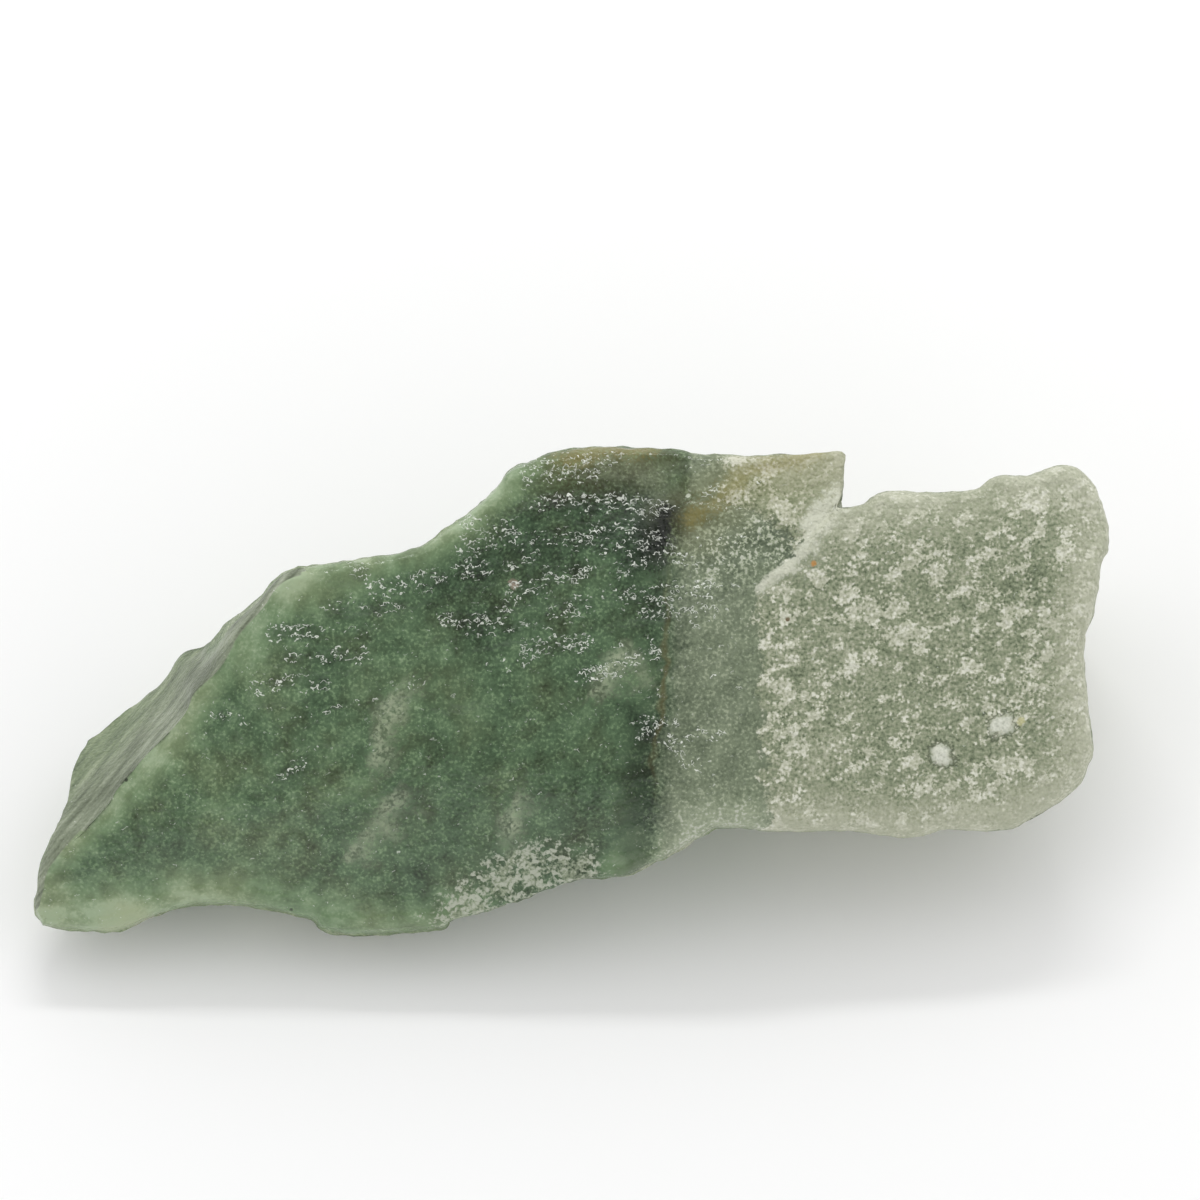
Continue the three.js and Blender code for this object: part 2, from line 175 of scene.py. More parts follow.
# Lines drawn on the face, in u and v.
RIDGE = [
    (-27.6, 14), (-28.5, 11.5), (-30.4, 8.9), (-34.1, 3.8), (-37.4, -0.5),
    (-41.7, -5.9), (-46.6, -10.7), (-50.4, -15.1), (-53.1, -18.5), (-54.5, -20),
]
SEAM = [
    (11.7, 27), (11.6, 20.5), (10.3, 18.5), (10, 16.5), (9.5, 13),
    (9.5, 6), (9.1, -0.6), (8.2, -6.4), (7.8, -18),
]
STAINS = [(24.5, 24.8), (20, 23.4), (17.5, 22.5), (15, 20.3), (13, 18.8), (12.3, 18.2)]
TOP_STAIN = [(-0.5, 24.0), (3, 24.9), (8, 25.2)]
CREASE_LINE = [(11.7, 20.3), (16.2, 19.6), (18.3, 19), (19.7, 18), (21.4, 16.9), (22.3, 16.3)]
# The white step: bruising, with painted light on its riser, which faces the light.
BRUISED_LIT_STEP = [(26.4, 20), (24.6, 18.2), (23.6, 16), (22, 13.8), (18.8, 11.6)]
SMOKE = [(3.5, 23.5), (8, 21.5), (9.5, 19)]
FLECKED_WEDGE = [(15, 14.5), (19.5, 16.8), (22.2, 15)]
FROST_LINE = [(-10.5, -21.5), (-6.5, -18), (-3, -17), (0.5, -17.6)]
HAZE_LINES = [
    [(2.8, 2), (4.4, 4), (5.6, 4.9), (7, 3.6)],
    [(-19.5, -6), (-18.5, -2), (-17.5, 0.5)],
    [(-21.5, -14.5), (-19, -12), (-18, -10)],
    [(-6.3, -14.8), (-5.8, -11)],
]

# Painted light and shade, and the stone's own clouds: a line, its reach and the change of lightness. Thin
# parts are painted lighter, as if light came through them, and thick ones darker; the hollow under the
# crease has painted shade; the rest are clouds of the stone's own colour.
PAINTED_LIGHT_SHADE_AND_CLOUDS = [
    ([(-45, -12), (-24, 2)], 24, 0.09),  # thinning left half
    ([(-31.5, 6.5), (-28.5, 11)], 6, 0.16),  # top of the ridge
    ([(-28, 12), (-34, 4), (-41.5, -5.5), (-50, -14.5)], 3, 0.16),  # ridge
    ([(-36, 1.5), (-41.5, -5.5), (-50, -14.5)], 3, 0.2),  # its lower half
    ([(-27, 13), (-15.5, 15.2), (-7.5, 21), (-4.5, 23.5)], 5.5, 0.35),  # upper edge
    ([(-13, 16), (-7.5, 20.5)], 5, 0.16),  # its slope up to the top
    ([(4, 3), (5.3, 4.6), (7, 3.5)], 2.8, 0.17),  # milky patch left of the seam
    ([(16.5, 24), (19.5, 23.6)], 2, 0.3),  # pale stretch of the tab's edge
    ([(24.5, 21), (25.5, 19.5)], 2, -0.1),  # darker corner of the tab
    ([(-54, -19), (-51, -23), (-46, -23)], 7, 0.41),  # thin tip
    ([(-44, -22.5), (-36, -20.5), (-27, -21.5), (-18, -23.6), (-12, -22.5)], 6, 0.32),  # lower edge
    ([(6, -17), (14, -13), (17, -13)], 5.5, 0.36),  # lower end of the band
    # Painted shade in the hollow under the crease.
    ([(21.2, 17), (22.2, 15.2)], 2.4, -0.15),  # hollow under the crease
    ([(11, 18), (12.8, 18.6)], 2.8, -0.34),  # lower end of the stain
    ([(18, 21), (19, 21)], 2, -0.1),  # middle of the tab
    ([(-6.5, 18.3), (0, 21), (6, 21)], 3, -0.18),  # dark stretch below the top edge
    ([(-24, 0), (-24, 3)], 3.5, -0.13),  # dark cloud of the left half
    ([(-22, -9), (-20, -9)], 3, 0.12),  # light cloud below it
    ([(-15, 9), (-12, 5), (-10, -3)], 4, 0.12),  # light band down the middle
    ([(3, 13), (3, 11)], 3, 0.12),  # light cloud between the rows of grains
    ([(0, 0), (3, -3)], 3, 0.12),  # light cloud below the milky patch
    ([(9, -12), (9, -14)], 2.5, -0.12),  # dark foot of the seam
    ([(12, -2), (12.5, -4)], 2.5, -0.1),  # dark patch of the band
    ([(-39, -19), (-33, -19)], 4, 0.09),  # thinnest stretch of the lower edge
    ([(21.5, 8), (22, -7)], 4, 0.03),  # left border of the pale end
    ([(20.8, -1.5), (21.2, -4)], 2, -0.1),  # green gap in it
    ([(3, 18), (-14, 10)], 9, -0.13),  # thick middle
    ([(47, 12.5), (44, 11)], 3, -0.14),  # green patch of the pale end
    ([(38, 20.3), (42, 20.6)], 3, -0.12),  # darker stretch of its top edge
    ([(24, -6), (26, -5)], 2.5, 0.15),  # milky patch of its left half
    ([(30, 9), (31, 10)], 2.5, -0.13),  # dark patch of its middle
    ([(27, 6), (30, 3)], 2.2, 0.12),  # milky patch below it
    ([(33, 22), (50, 21.5), (52, 6), (50, -9), (36, -13), (24, -13)], 5, 0.07),  # its thin edges
]

# Small spots on the face: u, v, radius and colour. Spots wider than a lump's least radius stand proud.
LUMP_RADIUS = 0.8
SPOTS = [
    (24.2, 13.6, 0.3, (186, 132, 66)),
    (21.6, 8.1, 0.25, (96, 74, 38)),
    (-5.6, 11.6, 0.7, (146, 134, 118)),
    (-44.1, -7.9, 0.2, (40, 44, 36)),
    (-27.8, -20.9, 0.2, (48, 52, 42)),
    (44.8, -2, 0.45, (190, 188, 142)),
    (37, -5.5, 1, (216, 218, 204)),
    (42.8, -2.3, 1.2, (216, 218, 204)),
    (11.8, 20.3, 0.3, (206, 212, 194)),
]

# Rows of wet grains where the glints are painted, highlights where their edges catch the light, in u and v.
GLINT_ROWS = [
    [(-3.6, 23.2), (0.4, 23.6), (4.5, 24.1)],
    [(-4.2, 21.8), (-1.3, 22.5), (2.5, 22.9)],
    [(-2.3, 20), (2, 19.5), (5.5, 20), (9.5, 18.8)],
    [(-10.5, 18), (-7.3, 17), (-4.5, 15.8), (-2.3, 16.2), (1.3, 16.2), (5, 16.7), (9, 16)],
    [(-5.2, 15.6), (-3.8, 14.6)],
    [(-10.5, 15.3), (-8, 15.6)],
    [(3, 15), (8.7, 14.8), (12, 13.5)],
    [(-10.3, 14), (-9, 12.8)],
    [(-2, 12.6), (2, 13)],
    [(5.3, 13.2), (7.2, 13.9)],
    [(-5.3, 11.4), (-2.7, 11.5)],
    [(4.3, 10.4), (10, 10.8), (14, 11)],
    [(-12.3, 8), (-9, 8), (-6.3, 9)],
    [(-1.7, 9), (1.5, 9.5)],
    [(8, 8.6), (15, 9.2)],
    [(-4.3, 5.3), (1.7, 5.9)],
    [(-23, 9.2), (-17, 9)],
    [(-21, 12.6), (-18.5, 11.2), (-13, 12)],
    [(-29.5, 7), (-25.5, 6.8)],
    [(-28, 4.3), (-20.8, 4.6)],
    [(-31.5, 1.3), (-28.5, 2)],
    [(-35.5, -1), (-33, -1.5)],
    [(-27, 2.2), (-24.5, 1.8)],
    [(1.5, 2.5), (4.5, 3.2), (8, 4.6)],
    [(7.2, -2), (10.2, -2.4)],
    [(7, -3.2), (9.8, -3.8), (12.8, -6.5)],
    [(12, -3.4), (14.5, -3.4)],
    [(-29, -7.8), (-26.5, -6)],
]


# ---- numpy tools ----

def smoothstep(x):
    """0 below 0, 1 above 1, and an S between."""
    x = np.clip(x, 0, 1)
    return x * x * (3 - 2 * x)


def mix(a, b, t):
    """a where t is 0, b where it is 1, and straight between."""
    return a + (b - a) * t


def soft_min(a, b, width):
    """The smaller of a and b, with the corner between them rounded over the given width."""
    closeness = np.maximum(width - np.abs(a - b), 0) / width
    return np.minimum(a, b) - closeness**2 * width / 4


def spline(rows, at):
    """Catmull-Rom curve through rows at row positions at: a cubic whose slope at each row is half the
    difference of its neighbours."""
    rows = np.asarray(rows, float)
    span = np.minimum(at.astype(int), len(rows) - 2)
    part = (at - span)[:, None]
    before, start = rows[np.maximum(span - 1, 0)], rows[span]
    end, after = rows[span + 1], rows[np.minimum(span + 2, len(rows) - 1)]
    slope_in, slope_out = (end - before) / 2, (after - start) / 2
    rest = 3 * (end - start) - 2 * slope_in - slope_out
    return start + part * (slope_in + part * (rest + part * (slope_in + slope_out - 2 * (end - start))))


def even_stations(rows, count, lag=0):
    """The spline through rows, cut into count steps of equal length in u and v. A lag draws the steps
    towards the start, most of all at seven tenths of the way, and leaves both ends in place."""
    last = len(rows) - 1
    at = np.linspace(0, last, last * SAMPLES_PER_SPAN + 1)
    steps = np.linalg.norm(np.diff(spline(rows, at)[:, :2], axis=0), axis=1)
    travelled = np.concatenate([[0], np.cumsum(steps)])
    share = np.arange(count + 1) / count
    share = share - lag * np.sin(math.pi * share**2)
    return spline(rows, np.interp(travelled[-1] * share, travelled, at))


def line_distance(points, line):
    """Distance in u and v from each point to the nearest stretch of a line, and on which side of it
    the point lies: 1 to the left of the line's run, -1 to the right."""
    line = np.asarray(line, float)
    nearest = np.full(len(points), np.inf)
    side = np.ones(len(points))
    for a, b in zip(line[:-1], line[1:]):
        along = np.clip((points[:, :2] - a) @ (b - a) / ((b - a) @ (b - a)), 0, 1)
        off = points[:, :2] - a - along[:, None] * (b - a)
        far = np.linalg.norm(off, axis=1)
        turn = np.sign((b - a)[0] * off[:, 1] - (b - a)[1] * off[:, 0])
        side = np.where(far < nearest, turn, side)
        nearest = np.minimum(nearest, far)
    return nearest, side


def turned(points, angle):
    """The points with u and v turned anticlockwise by an angle in degrees."""
    cos, sin = math.cos(math.radians(angle)), math.sin(math.radians(angle))
    u, v, w = points.T
    return np.column_stack([u * cos - v * sin, u * sin + v * cos, w])


def lattice(cell, seed):
    """Three repeatable random numbers, -1 to 1, for each whole-number cell."""
    rng = np.random.default_rng(seed)
    order = np.concatenate([rng.permutation(256)] * 2)
    numbers = rng.uniform(-1, 1, (256, 3))
    x, y, z = (cell % 256).T
    return numbers[order[order[order[x] + y] + z]]


def noise(points, size, seed):
    """Gradient noise, about -1 to 1: a random slope at each corner of a lattice with cells of the
    given size (one number, or three), blended between corners by a smooth S."""
    at = points / size
    cell = np.floor(at).astype(int)
    part = at - cell
    fade = part**3 * (part * (part * 6 - 15) + 10)
    total = np.zeros(len(points))
    for corner in np.ndindex(2, 2, 2):
        weight = np.where(corner, fade, 1 - fade).prod(axis=1)
        total += weight * (lattice(cell + corner, seed) * (part - corner)).sum(axis=1)
    return total * 1.7


def fractal(points, size, seed, octaves=3):
    """Noise of several sizes, each half as large as the one before and 0.6 times as strong."""
    layers = range(octaves)
    return sum(0.6**k * noise(points, np.array(size) / 2**k, seed + k) for k in layers)


def grains(points, size, seed):
    """Rounded grains, 1 at each grain's middle and 0 half a cell away: distance to the nearest of
    points scattered one to a cell."""
    at = points / size
    cell = np.floor(at).astype(int)
    nearest = np.full(len(points), np.inf)
    for step in np.ndindex(3, 3, 3):
        there = cell + np.array(step) - 1
        middle = there + 0.5 + 0.45 * lattice(there, seed)
        nearest = np.minimum(nearest, ((at - middle) ** 2).sum(axis=1))
    return np.clip(1 - 2 * np.sqrt(nearest), -1, 1)


# ---- the form, in the face frame ----

def facet_level(facets, u, v):
    """Lowest of several planes, with soft creases between them."""
    level = None
    for (u0, v0, w0), (rise_u, rise_v) in facets:
        plane = w0 + rise_u * (u - u0) + rise_v * (v - v0)
        level = plane if level is None else soft_min(level, plane, CREASE)
    return level


def past_step(u, v):
    """Distance in u past the line where the pale end begins."""
    line_v, line_u = np.array(STEP_LINE).T
    return u - np.interp(v, line_v, line_u)


def face_level(u, v):
    """Level w of the broken face: the main facets, and past the step the pale ones."""
    past = smoothstep(past_step(u, v) / STEP_WIDTH + 0.5)
    return mix(facet_level(MAIN_FACETS, u, v), facet_level(PALE_FACETS, u, v), past)


def underside_level(u, v):
    """Level w of the underside: the highest of its planes, each solved for w in the tilted frame."""
    level = np.full(np.shape(u), -np.inf)
    for height, (rise_x, rise_y) in UNDERSIDE:
        known = height + rise_x * u + rise_y * v * math.cos(TILT)
        steepness = math.cos(TILT) + rise_y * math.sin(TILT)
        level = np.maximum(level, (known - v * math.sin(TILT) - FACE_HEIGHT) / steepness)
    return level


def unit(vectors):
    """The vectors made one long."""
    return vectors / np.linalg.norm(vectors, axis=-1, keepdims=True)


def towards_spine(outline):
    """The direction from each point of the outline to the point of the spine below or above it."""
    spine_u, spine_v = np.array(SPINE, float).T
    on_spine = np.clip(outline[:, 0], spine_u[0], spine_u[-1])
    return unit(np.stack([on_spine, np.interp(on_spine, spine_u, spine_v)], axis=1) - outline)


def inward(outline):
    """The direction halfway between the outline's inward normal and the way to the spine."""
    run = np.roll(outline, -NORMAL_REACH, axis=0) - np.roll(outline, NORMAL_REACH, axis=0)
    return unit(unit(run[:, ::-1] * (-1, 1)) + towards_spine(outline))


def foot_curve(stations):
    """The foot: each station moved in by its inset, then evened out twice with its neighbours."""
    foot = stations[:, :2] + towards_spine(stations[:, :2]) * stations[:, 4:]
    for _ in range(2):
        moved = [np.roll(foot, step, axis=0) for step in range(-FOOT_REACH, FOOT_REACH + 1)]
        foot = np.mean(moved, axis=0)
    return foot


def profiles(stations):
    """The profile of every station, shoulder to foot, as [station, row, (u, v, w)]: a quarter ellipse
    out to the rim, straighter where the shoulder is wide, then the wall, bowed in to the foot."""
    u, v, shoulder, drop, _ = stations.T
    rim = face_level(u, v) - drop
    outline = stations[:, None, :2]

    turn = np.arange(SHOULDER_ROWS) / SHOULDER_ROWS
    down = np.arange(WALL_ROWS + 1) / WALL_ROWS
    straight = smoothstep((shoulder - NARROW_SHOULDER) / (WIDE_SHOULDER - NARROW_SHOULDER))[:, None]
    inset = shoulder[:, None] * (1 - mix(np.sin(turn * math.pi / 2), turn, straight))
    on_shoulder = outline + inward(stations[:, :2])[:, None] * inset[..., None]
    on_wall = mix(outline, foot_curve(stations)[:, None], (down**WALL_BOW)[:, None])
    place = np.concatenate([on_shoulder, on_wall], axis=1)

    top = face_level(*place[:, 0].T)[:, None]
    bottom = underside_level(*place[:, -1].T)[:, None]
    shoulder_level = mix(rim[:, None], top, mix(np.cos(turn * math.pi / 2), 1 - turn, straight))
    level = np.concatenate([shoulder_level, mix(rim[:, None], bottom, down)], axis=1)
    level = np.maximum(level, underside_level(place[..., 0], place[..., 1]))
    return np.concatenate([place, level[..., None]], axis=2)


def ring_index():
    """Which station of the ring each border cell of a patch lies on, as [row, column], -1 inside."""
    n, m = CELLS_ALONG, CELLS_ACROSS
    index = np.full((m + 1, n + 1), -1)
    index[:, 0] = 2 * (n + m) - np.arange(m + 1)
    index[m, :] = 2 * n + m - np.arange(n + 1)
    index[:, n] = n + np.arange(m + 1)
    index[0, :] = np.arange(n + 1)
    return np.where(index >= 0, index % (2 * (n + m)), -1)


def patch_plan(border):
    """Plan points of a patch between its four edges: the two ruled surfaces between opposite edges,
    less the one through the four corners, then each inner point moved a few times to the middle of
    its four neighbours."""
    m, n = border.shape[0] - 1, border.shape[1] - 1
    a = (np.arange(n + 1) / n)[None, :, None]
    b = (np.arange(m + 1) / m)[:, None, None]
    across = mix(border[:1], border[-1:], b)
    along = mix(border[:, :1], border[:, -1:], a)
    corners = mix(mix(border[:1, :1], border[:1, -1:], a), mix(border[-1:, :1], border[-1:, -1:], a), b)
    plan = across + along - corners
    for _ in range(EASING_PASSES):
        plan[1:-1, 1:-1] = (plan[:-2, 1:-1] + plan[2:, 1:-1] + plan[1:-1, :-2] + plan[1:-1, 2:]) / 4
    return plan


def quads(index):
    """The faces of a grid of vertex numbers, as rows of four."""
    corners = index[:-1, :-1], index[:-1, 1:], index[1:, 1:], index[1:, :-1]
    return np.stack(corners, axis=-1).reshape(-1, 4)


def chunk_form():
    """Points and faces of the whole closed chunk before its relief."""
    sides = [
        even_stations(LOWER_EDGE, CELLS_ALONG, LOWER_LAG),
        even_stations(RIGHT_END, CELLS_ACROSS)[::-1],
        even_stations(UPPER_EDGE, CELLS_ALONG)[::-1],
        even_stations(LEFT_TIP, CELLS_ACROSS),
    ]
    ring = profiles(np.concatenate([side[:-1] for side in sides]))
    stations, rows = ring.shape[:2]
    ring_numbers = np.arange(stations * rows).reshape(stations, rows)
    closed = np.concatenate([ring_numbers, ring_numbers[:1]])
    points, faces = [ring.reshape(-1, 3)], [quads(closed)]

    index = ring_index()
    inside = index < 0
    for row, level, facing in ((0, face_level, 1), (rows - 1, underside_level, -1)):
        plan = patch_plan(ring[np.maximum(index, 0), row, :2])[inside]
        numbers = np.where(inside, 0, ring_numbers[np.maximum(index, 0), row])
        numbers[inside] = sum(len(p) for p in points) + np.arange(inside.sum())
        points.append(np.column_stack([plan, level(*plan.T)]))
        faces.append(quads(numbers)[:, ::facing])
    return np.concatenate(points), np.concatenate(faces)


def normals(points, faces):
    """Unit normal of every point: the sum of its faces' area normals."""
    a, b, c, d = (points[faces[:, k]] for k in range(4))
    area = np.cross(c - a, d - b)
    total = np.zeros_like(points)
    for k in range(4):
        np.add.at(total, faces[:, k], area)
    return unit(total)


def to_frame(points):
    """Face frame in millimetres to the part's frame in metres, before it is centred on the origin."""
    u, v, w = np.asarray(points, float).T
    y = v * math.cos(TILT) - w * math.sin(TILT)
    z = v * math.sin(TILT) + w * math.cos(TILT) + FACE_HEIGHT
    return np.column_stack([u, y, z]) * MM


# ---- relief and marks ----

def nearest_line(points, lines, left=1):
    """Distance in u and v from each point to the nearest of several lines, stretched by a factor on the
    left of a line's run."""
    reach = [line_distance(points, line) for line in lines]
    return np.min([distance * np.where(side > 0, left, 1) for distance, side in reach], axis=0)


def bump_of(distance, width):
    """1 on a line and 0 well away from it, as a bell of the given half width."""
    return np.exp(-((distance / width) ** 2))


def glow(points):
    """Change of lightness at each point, from painted light and shade and the stone's own clouds: each line
    at full strength on it and fading to 0.
    """
    total = np.zeros(len(points))
    for line, reach, change in PAINTED_LIGHT_SHADE_AND_CLOUDS:
        total += change * (1 - smoothstep(line_distance(points, line)[0] / reach))
    return total


def glint_zone(points, fray):
    """How thickly the painted glints lie, highlights on the grains' edges, above 0 where most grains have
    one: along the glint rows, and thinly in rows that face up over the upper half of the green face."""
    u, v, _ = points.T
    here, above = turned(points, ROW_TURN), turned(points + (0, 0.5, 0), ROW_TURN)
    rows = 0.9 * (noise(here, ROW_SIZE, 3) - noise(above, ROW_SIZE, 3))
    on_face = smoothstep((v + 13) / 18) * smoothstep((u + 34) / 8) * smoothstep((24 - u) / 8)
    near = bump_of(nearest_line(points, GLINT_ROWS) + 0.3 * fray, 0.75)
    return rows + 0.3 * fray - 1.1 + 0.5 * on_face + near * mix(1.5, 2, smoothstep((u + 20) / 10))


def side_facet(points, facing, to_ridge):
    """1 on the facet beyond the ridge, down to its rim: wherever the stone falls away steeply, and at the
    tip, where it is rounder, wherever it lies beyond the ridge's line."""
    u, v, _ = points.T
    steep = smoothstep((0.9 - facing[:, 2]) / 0.25) * (to_ridge < 1.5)
    beyond = smoothstep(-to_ridge / 0.5) * smoothstep((-9 - v) / 2)
    return np.maximum(steep, beyond) * (u < -26) * smoothstep((facing[:, 2] - 0.08) / 0.2)


def zone_marks(points, facing):
    """What the relief and the finish share, by name: masks, distances in millimetres, which are frayed
    by noise where a border is ragged, and clouds of noise round 0."""
    u, v, _ = points.T
    fray = fractal(points, 2.4, 50)
    fine_fray = fractal(points, 1.1, 60, 2)
    seam_u, seam_v = np.array(SEAM[::-1]).T
    to_ridge, ridge_side = line_distance(points, RIDGE)
    to_crease, crease_side = line_distance(points, CREASE_LINE)
    outline = UPPER_EDGE + RIGHT_END[1:] + LOWER_EDGE[-2::-1] + LEFT_TIP[-2:0:-1] + UPPER_EDGE[:1]
    return {
        "wall": smoothstep((0.5 - facing[:, 2]) / 0.45),
        "seam": u - np.interp(v, seam_v, seam_u) + 0.5 * fray,
        "past": past_step(u, v) + 0.8 * fray + 0.5 * fine_fray,
        "ridge": to_ridge * ridge_side,
        "side": side_facet(points, facing, to_ridge * ridge_side),
        "rim": line_distance(points, np.array(outline)[:, :2])[0],
        "stain": nearest_line(points, [STAINS, TOP_STAIN]) + 0.5 * fray,
        "frost": line_distance(points, FROST_LINE)[0] + 1.6 * fray,
        "haze": nearest_line(points, HAZE_LINES, 2.4) + 1.2 * fray,
        "smoke": bump_of(line_distance(points, SMOKE)[0], 2.2),
        "block": smoothstep((u - 11.7) / 0.3) * smoothstep((v - 20.3) / 0.3) * smoothstep((16.5 - u) / 1.5),
        "wedge": bump_of(line_distance(points, FLECKED_WEDGE)[0], 3),
        "crease": to_crease,
        "tab": np.minimum(to_crease * crease_side, u - 15.5) + 0.5 * fray,
        "bruise": line_distance(points, BRUISED_LIT_STEP)[0] + 0.8 * fray + 0.5 * fine_fray,
        "glow": glow(points),
        "glints": glint_zone(points, fray),
        "clouds": fractal(points, 6, 20, 2),
        "mottle": fractal(points, 1.7, 30),
        "hue": noise(points, 4.5, 40),
        "clumps": fractal(turned(points, CLUMP_TURN), (2.1, 1.5, 1.8), 44, 2),
    }


# The marks that the finish reads.
MARKS = (
    "wall", "seam", "past", "ridge", "side", "rim", "stain", "frost", "haze", "tab",
    "bruise", "glow", "glints", "clouds", "mottle", "hue", "clumps", "smoke", "block", "wedge",
)


def face_relief(points, marks):
    """Relief of the broken face: terraces on its glossy part, lower on the front slope, coarser sugar
    on the pale end, furrows on the side facet, grooves down the crease and the seam, and lumps."""
    upper = mix(FRONT_TERRACES, 1, smoothstep((points[:, 1] + 10) / 10))
    terraces = TERRACE_DEPTH * upper * noise(turned(points, ROW_TURN), ROW_SIZE, 3)
    terraces = terraces + 0.04 * noise(points, 1.1, 4)
    sugar = 0.11 * noise(points, 2.2, 5) + 0.09 * grains(points, 0.9, 6) + 0.05 * noise(points, 0.7, 7)
    furrows = FURROW_DEPTH * noise(turned(points, FURROW_TURN), (12, 2.6, 6), 10)
    dry = smoothstep(marks["past"] / 1.2 + 0.5)
    face = mix(mix(terraces, sugar, dry), furrows, marks["side"])
    face = face - CREASE_DEPTH * bump_of(marks["crease"], 0.35) - SEAM_DEPTH * bump_of(marks["seam"], 0.5)
    for u0, v0, radius, _ in SPOTS:
        if radius > LUMP_RADIUS:
            away = np.hypot(points[:, 0] - u0, points[:, 1] - v0)
            face = face + LUMP_HEIGHT * bump_of(away, radius)
    return face


def wall_relief(points, marks):
    """Relief of the walls: large and small hackles, which are sharp ridges where noise changes its
    sign, the large ones lower close below the rim, and a fine grain."""
    breaks = 1.1 * np.abs(noise(points, (15, 15, 10), 8)) + 0.5 * np.abs(noise(points, (5, 5, 6), 11))
    below_rim = mix(0.3, 1, smoothstep(marks["rim"] / 2.5))
    hackles = breaks * below_rim + 0.35 * np.abs(noise(points, (2.6, 2.6, 3.6), 9))
    return 0.2 - hackles + 0.1 * noise(points, 1.2, 12)


def relief(points, marks):
    """How far each point stands out along its normal: broad waves everywhere, with the relief of the
    face or of the walls on them."""
    broad = 0.3 * noise(points, 13, 1) + 0.14 * noise(points, 5.5, 2)
    on_wall = marks["wall"] * (1 - marks["side"])
    return broad + mix(face_relief(points, marks), wall_relief(points, marks), on_wall)


def rest_weight(points):
    """1 well above the flat underside and 0 on it, so that relief leaves the flat alone."""
    height = to_frame(points)[:, 2] / MM
    return smoothstep((height - RELIEF_START) / RELIEF_FADE)


def new_mesh_object(name, points, faces, marks):
    """A smooth mesh object from arrays, with each mark as a point attribute."""
    mesh = bpy.data.meshes.new(name)
    mesh.from_pydata(points.tolist(), [], faces.tolist())
    mesh.shade_smooth()
    for mark, values in marks.items():
        attribute = mesh.attributes.new(mark, "FLOAT", "POINT")
        attribute.data.foreach_set("value", values.astype(np.float32))
    piece = bpy.data.objects.new(name, mesh)
    bpy.context.collection.objects.link(piece)
    return piece


def make_chunk():
    """The visual chunk: form, relief and marks, tipped back and centred where the CAD box is."""
    points, faces = chunk_form()
    facing = normals(points, faces)
    marks = zone_marks(points, facing)
    low, high = to_frame(points).min(axis=0), to_frame(points).max(axis=0)
    cad_low, cad_high = (np.array(corner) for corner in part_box(NODE))
    shift = ((cad_low + cad_high - low - high) / 2) * (1, 1, 0)
    raised = points + facing * (relief(points, marks) * rest_weight(points))[:, None]
    placed = to_frame(raised) + shift
    placed[:, 2] = np.maximum(placed[:, 2], 0)
    return new_mesh_object("aventurine_surface", placed, faces, marks), shift


# ---- shader tools ----

class Socket:
    """An output of a shader node. Arithmetic on it adds Math nodes, so 1 - mask is a socket too."""

    def __init__(self, tree, output=None):
        self.tree = tree
        self.output = output

    def sibling(self, name):
        """Another output of the same node."""
        return Socket(self.tree, self.output.node.outputs[name])

    def node(self, kind, settings=(), inputs=(), output=0):
        """A new node: its settings first, then its sockets' values or links. Gives one output."""
        made = self.tree.nodes.new("ShaderNode" + kind)
        for name, value in dict(settings).items():
            if name == "stops":
                set_stops(made.color_ramp, value)
            else:
                setattr(made, name, value)
        for name, value in dict(inputs).items():
            if isinstance(value, Socket):
                self.tree.links.new(value.output, made.inputs[name])
            else:
                made.inputs[name].default_value = value
        return Socket(self.tree, made.outputs[output] if len(made.outputs) else None)

    def math(self, operation, *values):
        """A Math node's result for the values, each a number or a socket."""
        return self.node("Math", {"operation": operation}, dict(enumerate(values)))

    def __add__(self, other):
        return self.math("ADD", self, other)

    def __sub__(self, other):
        return self.math("SUBTRACT", self, other)

    def __rsub__(self, other):
        return self.math("SUBTRACT", other, self)

    def __mul__(self, other):
        return self.math("MULTIPLY", self, other)

    def __abs__(self):
        return self.math("ABSOLUTE", self)

    __radd__ = __add__
    __rmul__ = __mul__

    def larger(self, other):
        return self.math("MAXIMUM", self, other)

    def ramp(self, low, high):
        """0 where this is low, 1 where it is high, and an S between."""
        inputs = {"Value": self, "From Min": low, "From Max": high}
        return self.node("MapRange", {"interpolation_type": "SMOOTHSTEP"}, inputs)

    def bell(self, middle, width):
        """1 where this is at the middle, fading to 0 at a width to either side."""
        return 1 - abs(self - middle).ramp(0, width)

    def mix(self, a, b):
        """Colour a where this is 0 and b where it is 1."""
        return self.node("Mix", {"data_type": "RGBA"}, {0: self, 6: a, 7: b}, output=2)

    def blend(self, a, b):
        """Value a where this is 0 and b where it is 1."""
        return self * (b - a) + a

    def tones(self, stops):
        """The colour of a ramp of (position, colour) stops at this value."""
        return self.node("ValToRGB", {"stops": stops}, {"Fac": self})


def set_stops(ramp, stops):
    """Gives a colour ramp its stops, each a position and a colour, in rising order."""
    while len(ramp.elements) < len(stops):
        ramp.elements.new(1)
    for element, (position, tint) in zip(ramp.elements, stops):
        element.position = position
        element.color = tint


def colour(red, green, blue):
    """Linear colour of display values from 0 to 255."""
    def linear(value):
        value = value / 255
        return value / 12.92 if value <= 0.04045 else ((value + 0.055) / 1.055) ** 2.4
    return (linear(red), linear(green), linear(blue), 1)


def new_material(name):
    """An empty material, and a socket that starts its tree."""
    material = bpy.data.materials.new(name)
    material.use_nodes = True
    material.node_tree.nodes.clear()
    return material, Socket(material.node_tree)


def finish_material(start, inputs):
    """The shader and the output, with each socket of the shader set or linked."""
    shader = start.node("BsdfPrincipled", {}, inputs)
    start.node("OutputMaterial", {}, {"Surface": shader})


